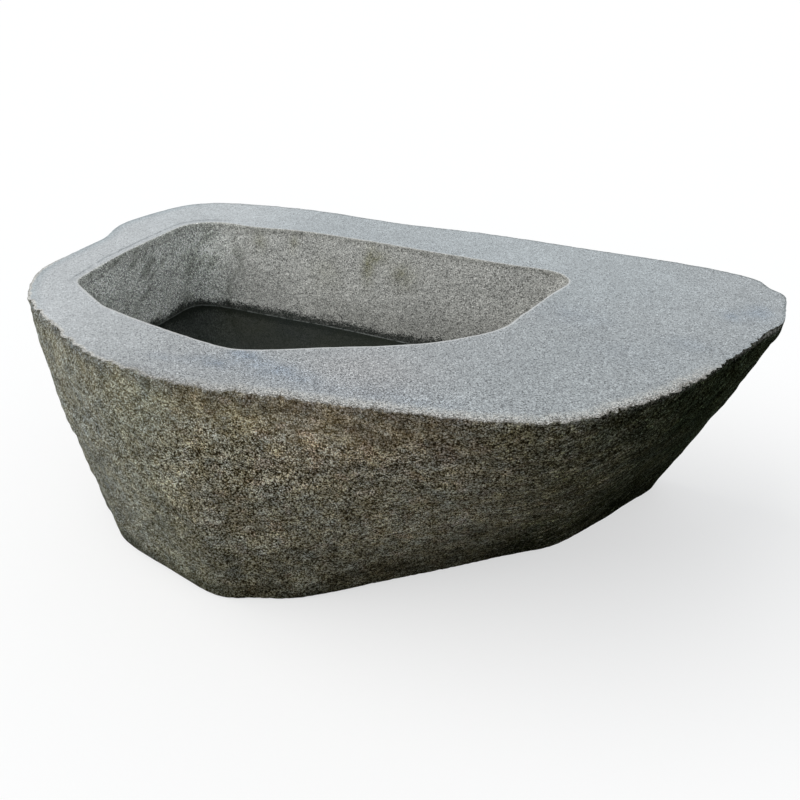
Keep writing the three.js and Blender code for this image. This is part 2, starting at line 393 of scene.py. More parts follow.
def outer_wall(tree):
    """The split wall from the ground up to the edge of the top: rows of points and their relief."""
    angles = even_angles(tree, CENTRE, SIDE_OUTLINE, OUTER_REACH, SIDE_COLUMNS, crowding)
    heights = np.linspace(SIDE_FOOT, SIDE_BROW, SIDE_LEVELS)
    heights = np.append(heights, np.linspace(SIDE_BROW, SIDE_HEAD, BROW_LEVELS + 1)[1:])
    found = radii(tree, CENTRE, angles, heights, OUTER_REACH)
    radius = smoothed(found, *SIDE_BLUR)
    even = smoothstep(0.25, 0.6, radius * np.cos(angles))
    radius += (smoothed(found, *RIGHT_BLUR) - radius) * even
    far_side = smoothstep(0.0, 0.15, radius * np.sin(angles))
    radius += (smoothed(found, *FAR_BLUR) - radius) * far_side
    rows = placed(CENTRE, angles, radius, heights)
    relief = split_relief(rows) * (1 - 0.4 * even)
    relief[:3] *= np.linspace(0.4, 1, 3)[:, None]
    upper = rows[SIDE_LEVELS:]
    near = smoothstep(0.2, -0.1, upper[..., 1]) * smoothstep(-0.98, -0.85, upper[..., 0])
    grain = 0.0022 * noise(upper, 0.013, 15) + 0.0014 * noise(upper, 0.008, 16)
    calm = np.linspace(0, 0.65, BROW_LEVELS)[:, None] * (1 - near)
    relief[SIDE_LEVELS:] = relief[SIDE_LEVELS:] * (1 - calm) + grain * (0.2 + 0.8 * near)
    bulge = sum(about(rows, spot, reach) * far for spot, reach, far in BULGES)
    rows = rows + outward(rows) * (relief + bulge)[..., None]

    head = chipped_edge(rows)
    arris = FOOT_ARRIS * (0.8 + 0.7 * np.abs(noise(rows[0], 0.02, 10)))
    toe = rows[0] - outward(rows[:1])[0] * arris[:, None]
    toe[:, 2] = 0
    everything = np.concatenate([toe[None], rows, head])
    shown = np.concatenate([relief[:1], relief, np.repeat(relief[-1:], len(head), 0)])
    for axis in (0, 1):
        reach = everything[..., axis]
        share = (reach - reach.min()) / (reach.max() - reach.min())
        everything[..., axis] = stone_low[axis] + share * (stone_high[axis] - stone_low[axis])
    return everything, shown


def basin_wall(tree):
    """The worked basin from its rim down to the level pad about the drain: rows of points."""
    angles = even_angles(tree, DRAIN, BASIN_OUTLINE, 0, BASIN_COLUMNS)
    across, along = np.cos(angles), np.sin(angles)
    heights = np.linspace(TOP - RIM_ROUNDING - 0.002, COVE_TOP, WALL_LEVELS)
    radius = smoothed(radii(tree, DRAIN, angles, heights, 0), *WALL_BLUR)
    wall = placed(DRAIN, angles, radius, heights)

    cove_radius, cove_height = [], []
    hollow = COVE_TOP - 0.004
    for share in np.linspace(0, 1, COVE_LEVELS + 2)[1:]:
        tilt = share * math.pi / 2
        reach, level = np.empty(BASIN_COLUMNS), np.empty(BASIN_COLUMNS)
        for k in range(BASIN_COLUMNS):
            inner = radius[-1, k] - COVE_RADIUS
            start = Vector((DRAIN[0] + inner * across[k], DRAIN[1] + inner * along[k], hollow))
            way = Vector((across[k] * math.cos(tilt), along[k] * math.cos(tilt), -math.sin(tilt)))
            hit = tree.ray_cast(start, way)[0]
            reach[k] = math.hypot(hit.x - DRAIN[0], hit.y - DRAIN[1])
            level[k] = hit.z
        cove_radius.append(reach)
        cove_height.append(level)
    above_pad = Vector((DRAIN[0], DRAIN[1] + PAD_RADIUS * 0.8, TOP))
    pad_height = tree.ray_cast(above_pad, Vector((0, 0, -1)))[0].z
    for share in np.linspace(1, 0, FLOOR_LEVELS + 1)[1:]:
        reach = PAD_RADIUS + (cove_radius[COVE_LEVELS] - PAD_RADIUS) * share
        cove_radius.append(reach)
        cove_height.append(pad_height + (cove_height[COVE_LEVELS] - pad_height) * share)
    floor_radius = smoothed(np.array(cove_radius), *FLOOR_BLUR)
    floor_height = smoothed(np.array(cove_height), *FLOOR_BLUR)
    floor_radius[-1] = PAD_RADIUS
    floor_height[-1] = pad_height
    floor = placed(DRAIN, angles, floor_radius, floor_height)

    rows = np.concatenate([wall, floor])
    worked = 0.0016 * noise(rows, 0.13, 11) + 0.0009 * noise(rows, 0.05, 12)
    worked = worked + 0.0004 * noise(rows, 0.024, 13)
    fade = np.ones(len(rows))
    fade[-3:] = (0.5, 0.2, 0)
    rows = rows + outward(rows) * (worked * fade[:, None])[..., None]
    mouth = outward(rows[:1])[0]
    rounding = RIM_ROUNDING * (0.62 + 0.5 * np.abs(noise(rows[0], 0.03, 14)))[:, None]
    rim = []
    for out, drop in LIP_COURSES:
        made = rows[0] + mouth * rounding * out
        made[:, 2] = TOP - RIM_ROUNDING * drop
        rim.append(made)
    return np.concatenate([np.stack(rim), rows])


def ring_about_drain(radius, height, columns=DRAIN_COLUMNS):
    """A level ring of points about the drain's axis."""
    angles = np.linspace(0, 2 * math.pi, columns, endpoint=False)
    return placed(DRAIN, angles, np.full((1, columns), radius), [height])[0]


# The boulder's finishes, in the order of its materials.
SIDE, HONED, WORKED = range(3)


def closest(points, loop):
    """Each point's distance from a closed loop, which is filled in four times finer."""
    ahead = np.roll(loop, -1, 0)
    fine = np.concatenate([loop + (ahead - loop) * share for share in (0, 0.25, 0.5, 0.75)])
    tree = KDTree(len(fine))
    for k, spot in enumerate(fine.tolist()):
        tree.insert(spot, k)
    tree.balance()
    return np.array([tree.find(spot)[2] for spot in points.tolist()])


# Patches of the stone's finishes, each as a spot, its reach on each axis, and how strong it is.
PATCHES = {
    # Where the honed top is damp.
    "damp": [
        ((-0.37, -0.452, TOP), (0.055, 0.014, 1), 0.35),
        ((-0.255, -0.43, TOP), (0.055, 0.024, 1), 0.9),
        ((-0.2, -0.378, TOP), (0.036, 0.02, 1), 1.7),
        ((-0.105, -0.415, TOP), (0.07, 0.032, 1), 0.95),
        ((0.01, -0.44, TOP), (0.12, 0.04, 1), 0.3),
        ((0.21, -0.42, TOP), (0.12, 0.05, 1), 0.3),
        ((0.49, 0.09, TOP), (0.09, 0.05, 1), 0.25),
        ((0.64, -0.06, TOP), (0.12, 0.06, 1), 0.12),
        ((0.77, 0.035, TOP), (0.05, 0.03, 1), 0.35),
        ((0.87, 0.23, TOP), (0.03, 0.03, 1), 0.6),
        ((0.93, 0.27, TOP), (0.03, 0.05, 1), 0.75),
    ],
    # Olive stains that run down the basin's far wall.
    "stain": [
        ((-0.184, 0.35, 0.665), (0.022, 0.1, 0.05), 1.0),
        ((-0.15, 0.35, 0.7), (0.03, 0.1, 0.022), 0.7),
        ((-0.446, 0.35, 0.7), (0.016, 0.1, 0.028), 0.7),
        ((-0.561, 0.33, 0.7), (0.02, 0.1, 0.028), 0.8),
        ((-0.064, 0.34, 0.655), (0.04, 0.1, 0.035), 0.7),
        ((-0.33, 0.33, 0.62), (0.05, 0.1, 0.05), 0.35),
    ],
    # Painted shade on the outer wall in patches, and painted light in patches where it is lighter.
    "painted_shade_patches": [
        ((0.05, -0.5, 0.69), (0.13, 0.2, 0.035), 0.55),
        ((0.18, -0.47, 0.655), (0.08, 0.2, 0.035), 0.75),
        ((-0.02, -0.5, 0.655), (0.06, 0.2, 0.02), 0.35),
        ((-0.57, -0.5, 0.63), (0.03, 0.2, 0.04), 0.25),
        ((-0.2, -0.51, 0.34), (0.07, 0.2, 0.06), 0.5),
        ((0.14, -0.31, 0.09), (0.09, 0.2, 0.06), 0.55),
    ],
    "painted_light_patches": [
        ((-0.39, -0.54, 0.43), (0.1, 0.2, 0.07), 0.8),
        ((-0.3, -0.54, 0.51), (0.06, 0.2, 0.05), 0.8),
        ((-0.52, -0.5, 0.3), (0.08, 0.2, 0.07), 0.7),
        ((-0.6, -0.47, 0.33), (0.07, 0.2, 0.08), 0.45),
        ((-0.55, -0.5, 0.55), (0.06, 0.2, 0.07), 0.2),
        ((-0.33, -0.54, 0.36), (0.06, 0.2, 0.06), 0.18),
    ],
    # Pale flakes just under the edge at the pointed end.
    "flaked": [
        ((0.955, 0.17, 0.735), (0.035, 0.05, 0.007), 1.6),
        ((0.9, 0.07, 0.732), (0.03, 0.04, 0.005), 1.0),
    ],
    # Where the basin's wall is made lighter.
    "lightened_patches": [
        ((-0.79, 0.26, 0.615), (0.06, 0.06, 0.05), 0.8),
        ((-0.735, 0.31, 0.62), (0.05, 0.1, 0.05), 0.6),
        ((-0.84, 0.14, 0.68), (0.03, 0.05, 0.04), 0.35),
    ],
}


def patches(points, spots):
    """Soft patches about some spots, with broken outlines, from 0 to 1."""
    total = sum(about(points, spot, reach) * strength for spot, reach, strength in spots)
    broken = total * (1 + 0.6 * noise(points, 0.05, 21) + 0.35 * noise(points, 0.02, 22))
    return np.clip(broken, 0, 1)


def top_zones(points):
    """The honed top's cooler places, its lighter places with painted sheen, and where its grain is
    strongest.
    """
    x, y, _ = points.T
    drift = 0.06 * noise(points, 0.2, 31)
    left = smoothstep(-0.35, -0.72, x + drift)
    far = smoothstep(0.05, 0.4, y + drift) * smoothstep(0.95, 0.25, x) * (1 - 0.6 * left)
    warm = about(points, (0.09, -0.35, TOP), (0.13, 0.09, 1))
    cool = np.clip(0.42 + 0.58 * far + 0.38 * smoothstep(0.1, 0.5, x + drift) - 0.5 * warm, 0, 1)
    # Painted sheen: the top lighter and evener to the left and far side, as a grazing reflection of the
    # sky.
    light = left + 0.4 * far
    sharp = about(points, (0.05, -0.4, TOP), (0.36, 0.08, 1))
    chamfer = smoothstep(-0.62, -0.74, x) * smoothstep(-0.22, -0.15, y)
    return {"cool": cool, "light": light, "sharp": sharp, "chamfer": chamfer}


def side_zones(points):
    """Where the outer wall has each patina, painted shade low down, at the right and at its brow, or
    harsh grain.
    """
    x, y, z = points.T
    warped = x + 0.1 * noise(points, 0.22, 23)
    lifted = z + 0.09 * noise(points, 0.2, 24)
    facing_left = smoothstep(-0.26, -0.44, warped) * smoothstep(0.5, -0.1, y)
    pale = facing_left * (0.75 + 0.3 * noise(points, 0.12, 25))
    rust = smoothstep(-0.2, 0.0, warped) * smoothstep(0.55, 0.3, warped)
    rust = rust * smoothstep(0.42, 0.64, lifted) * (0.7 + 0.6 * noise(points, 0.09, 26))
    fair = smoothstep(-0.52, -0.3, warped) * smoothstep(0.32, 0.04, warped)
    fair = fair * smoothstep(0.46, 0.66, lifted)
    slate = smoothstep(0.05, 0.5, noise(points, 0.14, 27)) * smoothstep(0.62, 0.35, lifted)
    slate = slate * (1 - 0.8 * facing_left)
    # Painted shade, darker low down and under the overhanging right end.
    low = smoothstep(0.42, 0.05, lifted)
    right = smoothstep(0.22, 0.66, x + 0.05 * noise(points, 0.15, 28)) * smoothstep(0.55, 0.05, y)
    right = right * (1 - 0.18 * smoothstep(0.47, 0.56, x))
    low_and_right_shade = np.clip(0.48 * low * (1 - 0.55 * facing_left) + right, 0, 1)
    # Painted shade, deepest under the pointed right end.
    strayed = x + 0.08 * noise(points, 0.1, 29)
    deep = smoothstep(0.52, 0.72, strayed) * (0.72 + 0.28 * smoothstep(0.7, 0.84, strayed))
    deep = deep * smoothstep(0.6, 0.35, y)
    harsh = np.maximum(smoothstep(0.7, 0.52, lifted), 1.25 * right) * (1 - 0.5 * facing_left)
    harsh = harsh + 0.35 * smoothstep(0.08, 0.3, warped) * smoothstep(0.75, 0.6, x)
    # Where painted shade falls under the edge.
    brow = smoothstep(-0.5, -0.32, warped) * smoothstep(0.42, 0.25, warped) * smoothstep(0.3, 0.0, y)
    zones = {"pale": pale, "rust": rust, "fair": fair, "slate": slate}
    zones.update({"low_and_right_shade": low_and_right_shade, "deep": deep, "harsh": harsh, "brow": brow})
    return zones


def add_values(mesh, name, values):
    """Gives each point of a mesh a value that its materials can read by name."""
    layer = mesh.attributes.new(name, "FLOAT", "POINT")
    layer.data.foreach_set("value", np.asarray(values, np.float32))


def stone(materials):
    """The boulder as one closed mesh, from the solid's shape and the relief of its finishes."""
    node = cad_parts["trough_body"]
    corners = [v.co.copy() for v in node.data.vertices]
    tree = BVHTree.FromPolygons(corners, [tuple(p.vertices) for p in node.data.polygons])
    shell = Shell()
    wall_rows, relief = outer_wall(tree)
    wall = shell.add(wall_rows)
    basin_rows = basin_wall(tree)
    basin = shell.add(basin_rows)
    pad = basin_rows[-1][0, 2]
    profile = (
        (SEAT_RADIUS + DRAIN_EDGE, pad),
        (SEAT_RADIUS, pad - DRAIN_EDGE),
        (BORE_RADIUS, pad - SEAT_DEPTH),
        (BORE_RADIUS, DRAIN_EDGE),
        (BORE_RADIUS + DRAIN_EDGE, 0),
    )
    drain = shell.add(np.stack([ring_about_drain(*place) for place in profile]))
    shell.weave(wall, SIDE)
    shell.weave(basin, WORKED)
    shell.weave(drain, WORKED)
    shell.cap(wall[-1], basin[0], TOP_STEP, HONED, True)
    shell.cap(basin[-1], drain[0], PAD_STEP, WORKED, True)
    shell.cap(wall[0], drain[-1], UNDERSIDE_STEP, SIDE, False)
    mesh = shell.mesh("boulder", materials)
    points = np.concatenate(shell.points)
    add_values(mesh, "edge_gap", closest(points, wall_rows[-1]))
    add_values(mesh, "lip_gap", closest(points, basin_rows[0]))
    on_wall = np.zeros(len(points))
    on_wall[wall.ravel()] = relief.ravel()
    add_values(mesh, "relief", on_wall)
    for name, spots in PATCHES.items():
        add_values(mesh, name, patches(points, spots))
    for name, values in {**top_zones(points), **side_zones(points)}.items():
        add_values(mesh, name, values)
    mesh.set_sharp_from_angle(angle=math.radians(STONE_CREASE))
    return new_object("boulder", mesh), basin_rows


def put(tree, socket, value):
    """Links a value to a socket, or sets it there if it is a constant."""
    if isinstance(value, bpy.types.NodeSocket):
        tree.links.new(value, socket)
    elif isinstance(value, tuple) and len(value) == 3 and socket.type == "RGBA":
        socket.default_value = (*value, 1)
    else:
        socket.default_value = value


def maths(tree, operation, *values):
    """What a sum, a product or another operation makes of some values."""
    made = tree.nodes.new("ShaderNodeMath")
    made.operation = operation
    for socket, value in zip(made.inputs, values):
        put(tree, socket, value)
    return made.outputs[0]


def directly_seen(tree):
    """1 for rays from the camera, from mirrors and through water, and 0 for all other light."""
    path = tree.nodes.new("ShaderNodeLightPath")
    seen = maths(tree, "MAXIMUM", path.outputs["Is Camera Ray"], path.outputs["Is Glossy Ray"])
    return maths(tree, "MAXIMUM", seen, path.outputs["Is Transmission Ray"])


class Finish:
    """A material, the colour that it has so far, and short ways to build its nodes."""

    def __init__(self, name):
        self.material = bpy.data.materials.new(name)
        self.material.use_nodes = True
        self.tree = self.material.node_tree
        self.shader = self.tree.nodes["Principled BSDF"]
        self.place = self.tree.nodes.new("ShaderNodeTexCoord").outputs["Object"]
        self.colour = None

    def put(self, socket, value):
        put(self.tree, socket, value)

    def node(self, kind, inputs, **settings):
        made = self.tree.nodes.new("ShaderNode" + kind)
        for name, value in settings.items():
            setattr(made, name, value)
        for name, value in inputs.items():
            self.put(made.inputs[name], value)
        return made

    def maths(self, operation, *values):
        return maths(self.tree, operation, *values)

    def times(self, first, *others):
        """The product of some values."""
        for other in others:
            first = self.maths("MULTIPLY", first, other)
        return first

    def plus(self, first, second):
        return self.maths("ADD", first, second)

    def minus(self, first, second):
        return self.maths("SUBTRACT", first, second)

    def vector(self, operation, first, second, output="Vector"):
        return self.node("VectorMath", {0: first, 1: second}, operation=operation).outputs[output]

    def share(self, value, low, high):
        """0 where value is at low, 1 where it is at high, and smooth between."""
        inputs = {"Value": value, "From Min": low, "From Max": high}
        return self.node("MapRange", inputs, interpolation_type="SMOOTHSTEP").outputs[0]

    def between(self, value, start, end, low, high):
        """Low where value is at start, high where it is at end, and even between."""
        inputs = {"Value": value, "From Min": start, "From Max": end, "To Min": low, "To Max": high}
        return self.node("MapRange", inputs).outputs[0]

    def span(self, value, low, high):
        """A value from 0 to 1 spread from low to high."""
        return self.between(value, 0.0, 1.0, low, high)

    def tinted(self, share, colour, tint):
        """A colour, multiplied by a tint to a share."""
        return self.mix(share, colour, self.mix(1.0, colour, tint, "MULTIPLY"))

    def mix(self, share, first, second, mode="MIX"):
        made = self.tree.nodes.new("ShaderNodeMix")
        made.data_type = "RGBA"
        made.blend_type = mode
        self.put(made.inputs[0], share)
        self.put(made.inputs[6], first)
        self.put(made.inputs[7], second)
        return made.outputs[2]

    def scaled(self, colour, factor):
        """A colour made lighter or darker by a factor."""
        return self.node("VectorMath", {0: colour, "Scale": factor}, operation="SCALE").outputs[0]

    def tint(self, share, tint):
        """Multiplies this finish's colour by a tint, to a share."""
        self.colour = self.tinted(share, self.colour, tint)

    def blend(self, share, other):
        """Brings another colour into this finish's, to a share."""
        self.colour = self.mix(share, self.colour, other)

    def scale(self, factor):
        self.colour = self.scaled(self.colour, factor)

    def vary(self, low, high, *pattern):
        """Makes this finish's colour darker and lighter in clouds, by factors from low to high."""
        self.scale(self.span(self.clouds(*pattern), low, high))

    def clouds(self, size, detail=2.0, roughness=0.5, place=None):
        """Soft noise that fills the range from 0 to 1, with features about one size across."""
        inputs = {"Vector": place or self.place, "Scale": 1 / size}
        inputs.update({"Detail": detail, "Roughness": roughness})
        raw = self.node("TexNoise", inputs).outputs["Fac"]
        return self.node("MapRange", {"Value": raw, "From Min": 0.3, "From Max": 0.7}).outputs[0]

    def grains(self, size, place=None):
        """Two numbers from 0 to 1 for each crystal of one size, and the distance from its middle."""
        made = self.node("TexVoronoi", {"Vector": place or self.place, "Scale": 1 / size})
        parts = self.node("SeparateColor", {"Color": made.outputs["Color"]})
        return parts.outputs[0], parts.outputs[1], made.outputs["Distance"]

    def ragged(self, amount, size):
        """The place, shaken a little, so that crystals have uneven outlines."""
        inputs = {"Vector": self.place, "Scale": 1 / size, "Detail": 1.0}
        shaken = self.node("TexNoise", inputs).outputs["Color"]
        shaken = self.scaled(self.vector("SUBTRACT", shaken, (0.5, 0.5, 0.5)), amount)
        return self.vector("ADD", self.place, shaken)

    def drawn_out(self, way, times):
        """The place, with every pattern on it made so many times longer along one direction."""
        way = tuple(Vector(way).normalized())
        along = self.vector("DOT_PRODUCT", self.place, way, "Value")
        cut = self.scaled(way, self.times(along, 1 - 1 / times))
        return self.vector("SUBTRACT", self.place, cut)

    def ramp(self, value, stops):
        made = self.node("ValToRGB", {"Fac": value})
        line = made.color_ramp
        line.elements[0].position, line.elements[0].color = stops[0][0], (*stops[0][1], 1)
        line.elements[1].position, line.elements[1].color = stops[-1][0], (*stops[-1][1], 1)
        for position, colour in stops[1:-1]:
            line.elements.new(position).color = (*colour, 1)
        return made.outputs[0]

    def value(self, name):
        return self.node("Attribute", {}, attribute_name=name).outputs["Fac"]

    def coordinate(self, axis):
        return self.node("SeparateXYZ", {"Vector": self.place}).outputs[axis]

    def bump(self, height, distance, under=None):
        inputs = {"Height": height, "Distance": distance, "Strength": 1.0}
        if under is not None:
            inputs["Normal"] = under
        return self.node("Bump", inputs).outputs[0]

    def finish(self, roughness, normal=None, **constants):
        """The material, with this finish's colour and what else its shader takes."""
        self.put(self.shader.inputs["Base Color"], self.colour)
        self.put(self.shader.inputs["Roughness"], roughness)
        if normal is not None:
            self.put(self.shader.inputs["Normal"], normal)
        for name, value in constants.items():
            self.put(self.shader.inputs[name.replace("_", " ")], value)
        return self.material


# Colours of the stone, as linear red, green and blue, and tints, which multiply what is under them.
HONED_CRYSTALS = [
    (0.0, (0.105, 0.11, 0.112)),
    (0.05, (0.145, 0.151, 0.154)),
    (0.12, (0.238, 0.244, 0.248)),
    (0.45, (0.29, 0.295, 0.299)),
    (0.62, (0.357, 0.362, 0.365)),
    (0.9, (0.416, 0.42, 0.423)),
    (1.0, (0.52, 0.522, 0.518)),
]
CRUSHED = [(0.0, (0.25, 0.245, 0.23)), (0.35, (0.49, 0.485, 0.46)), (1.0, (0.78, 0.775, 0.74))]
SPLIT_BROWNS = [
    (0.05, (0.2, 0.182, 0.13)),
    (0.35, (0.29, 0.262, 0.192)),
    (0.6, (0.36, 0.33, 0.25)),
    (0.95, (0.44, 0.415, 0.335)),
]
SPLIT_GREENS = [(0.1, (0.29, 0.305, 0.262)), (0.5, (0.37, 0.375, 0.305)), (0.9, (0.43, 0.425, 0.33))]
SPLIT_DRIFT = [(0.15, (0.955, 0.995, 1.04)), (0.5, (1.005, 1.0, 0.97)), (0.85, (1.045, 1.0, 0.87))]
SPLIT_HUES = [(0.0, (1.3, 1.12, 0.72)), (0.4, (1.02, 1.01, 0.95)), (1.0, (0.93, 0.98, 1.06))]
WORKED_CRYSTALS = [
    (0.0, (0.12, 0.12, 0.108)),
    (0.14, (0.18, 0.18, 0.165)),
    (0.24, (0.375, 0.378, 0.358)),
    (0.6, (0.51, 0.51, 0.482)),
    (1.0, (0.68, 0.676, 0.64)),
]
EVEN_GREY = (0.318, 0.323, 0.326)
COOL_TINT = (0.925, 1.0, 1.03)
DAMP_TINT = (0.68, 0.78, 0.92)
WARM_TINT = (1.1, 1.07, 1.01)
CHALK = (0.7, 0.685, 0.645)
PIT = (0.055, 0.05, 0.04)
BITE_SHADE = (0.095, 0.086, 0.066)
ROLLED_SHADE_TINT = (0.8, 0.85, 0.87)
FAR_ARRIS_SHADE_TINT = (0.66, 0.67, 0.66)
WORN_LIP = (0.56, 0.57, 0.565)
LINE_TINT = (0.54, 0.56, 0.57)
RUST = (0.47, 0.39, 0.305)
BLOTCH = (0.305, 0.312, 0.265)
SLATE = (0.295, 0.298, 0.255)
COLD_TINT = (0.98, 1.005, 1.12)
ROSY_TINT = (1.05, 0.975, 0.99)
FLECK = (0.5, 0.47, 0.35)
LOW_AND_RIGHT_SHADE_TINT = (0.128, 0.152, 0.108)
DEEP_SHADE_TINT = (0.205, 0.265, 0.215)
PAINTED_SHADE_TINT = (0.5, 0.46, 0.4)
FOOT_SHADE_TINT = (0.42, 0.42, 0.38)
BROW_SHADE_TINT = (0.42, 0.395, 0.345)
FRESH_TINT = (0.975, 1.0, 1.11)
CRUMB = (0.46, 0.45, 0.42)
STRAND_TINT = (1.0, 1.0, 0.84)
FLAKE = (0.36, 0.36, 0.34)
LEFT_WALL_LIGHT_TINT = (1.2, 1.23, 1.24)
SMUDGE_TINT = (0.5, 0.51, 0.48)
STAIN_TINT = (0.46, 0.45, 0.28)
RIM_SHADE_TINT = (0.55, 0.55, 0.52)
TOWARD_WATER_TINT = (0.74, 0.74, 0.73)
WET_TINT = (0.045, 0.056, 0.047)
WATERLINE = (0.2, 0.215, 0.205)

# The directions in which the split wall's streaks are drawn out.
FLECK_WAY = (0.62, -0.28, -0.73)
LEDGE_WAY = (0.84, 0.42, 0.16)
STEEP_WAY = (0.64, 0.58, 0.51)


def honed_granite():
    """The flat top: grey crystals and black mica, a soft sheen, painted sheen to the left and far side,
    damp patches, painted edge shade and a crushed edge.
    """
    f = Finish("honed_granite")
    along, across = f.coordinate("X"), f.coordinate("Y")
    edge_gap, light = f.value("edge_gap"), f.value("light")
    crystal, tint, _ = f.grains(0.0026, f.ragged(0.0022, 0.0013))
    f.colour = f.ramp(crystal, HONED_CRYSTALS)
    fine = f.minus(f.clouds(0.0032, 1, 1.0), 0.5)
    # Painted sheen: where light is high the grain is softer and greyer.
    fine = f.times(fine, f.span(f.value("sharp"), 1.2, 2.1), f.span(light, 1.0, 0.5))
    f.blend(f.times(light, 0.4), EVEN_GREY)
    f.scale(f.plus(fine, 1.0))
    f.vary(0.87, 1.13, 0.022, 3, 0.8)
    f.vary(0.93, 1.06, 0.16, 4, 0.6)
    # Painted sheen: lighter to the left and far side.
    f.scale(f.span(light, 0.99, 1.43))
    f.tint(f.value("cool"), COOL_TINT)
    damp = f.times(f.value("damp"), f.span(f.clouds(0.03, 3), 0.5, 1.1))
    f.tint(damp, DAMP_TINT)

    # The edge: pits, chalky crystals, painted shade on the rolled left end and the far arris, a crushed
    # band, and painted shade in bites out of it.
    jitter = f.span(f.clouds(0.013, 4, 0.75), -0.004, 0.004)
    edge = f.plus(edge_gap, jitter)
    near = f.share(across, 0.0, -0.15)
    pitted = f.between(edge_gap, 0.002, 0.038, 0.31, -0.35)
    pitted = f.plus(pitted, f.between(along, 0.1, 0.4, 0.0, 0.03))
    pitted = f.share(f.plus(f.clouds(0.0034, 1, 1.0), pitted), 0.69, 0.8)
    pitted = f.times(pitted, near, f.share(along, -0.62, -0.3))
    warm = f.times(f.share(edge_gap, 0.04, 0.01), near, f.share(along, -0.45, -0.05))
    f.tint(warm, WARM_TINT)
    f.blend(f.times(f.share(tint, 0.5, 0.74), warm, 0.85), CHALK)
    # Painted shade where the left end's edge rolls over.
    rolled_shade = f.times(f.share(along, -0.78, -0.93), f.share(edge_gap, 0.04, 0.006))
    f.tint(rolled_shade, ROLLED_SHADE_TINT)
    # Painted shade on the far arris.
    far = f.times(f.share(f.plus(edge, jitter), 0.0085, 0.002), f.share(across, 0.15, 0.4), 0.9)
    f.tint(far, FAR_ARRIS_SHADE_TINT)
    crushed = f.share(edge, 0.0098, 0.0042)
    calm = f.between(along, 0.35, 0.6, 0.98, 0.78)
    f.blend(f.times(crushed, calm, near), f.ramp(tint, CRUSHED))
    f.blend(f.times(pitted, 0.88), PIT)
    # Painted shade in small bites out of the near edge.
    speckle = f.plus(edge_gap, f.span(f.clouds(0.0046, 2, 0.9), -0.0098, 0.0098))
    f.blend(f.times(f.share(speckle, -0.0002, -0.0018), near, 0.85), BITE_SHADE)

    # The basin's rim: a worn lip, and a line that runs along it.
    lip = f.value("lip_gap")
    worn = f.share(f.plus(lip, f.span(f.clouds(0.012, 2), -0.001, 0.001)), 0.0062, 0.0026)
    f.blend(f.times(worn, 0.75), WORN_LIP)
    line = f.maths("ABSOLUTE", f.minus(lip, f.span(f.clouds(0.1, 2), 0.019, 0.026)))
    line = f.times(f.share(line, 0.006, 0.0025), f.value("chamfer"))
    line = f.times(line, f.share(f.clouds(0.03, 3), 0.0, 0.4))
    f.tint(line, LINE_TINT)
    sheen = f.minus(f.span(crystal, 0.26, 0.36), f.times(damp, 0.06))
    sheen = f.plus(sheen, f.times(crushed, 0.45))
    pits = f.bump(f.clouds(0.0045, 3, 0.6), 0.0003)
    return f.finish(sheen, pits, Specular_IOR_Level=0.55)


